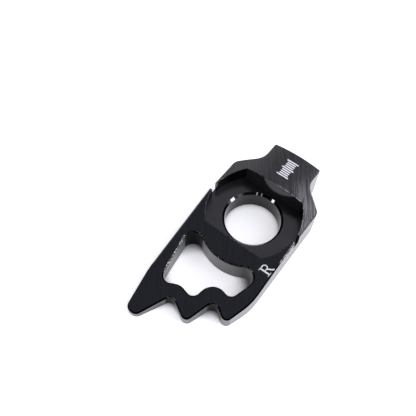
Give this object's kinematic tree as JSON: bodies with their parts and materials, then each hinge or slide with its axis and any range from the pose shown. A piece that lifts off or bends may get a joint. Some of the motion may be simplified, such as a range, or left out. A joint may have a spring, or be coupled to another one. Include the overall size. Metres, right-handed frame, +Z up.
{
  "type": "motorcycle chain adjuster",
  "caption": "Right-hand axle block of a motorcycle chain adjuster: crowned head, pocket round the axle bore, sloping tail with window and teeth.",
  "frame": {"origin": "axis of the axle bore, in the plane of the underside", "axes": "+X from the bore to the face that meets the adjuster bolt, +Y to the inner side with the long tooth, +Z up out of the pocket"},
  "size_m": [0.0983, 0.0444, 0.0198],
  "materials": {
    "anodised_aluminium": "satin black anodised"
  },
  "bodies": {
    "root": {"adjuster_block": "anodised_aluminium"}
  },
  "joints": []
}
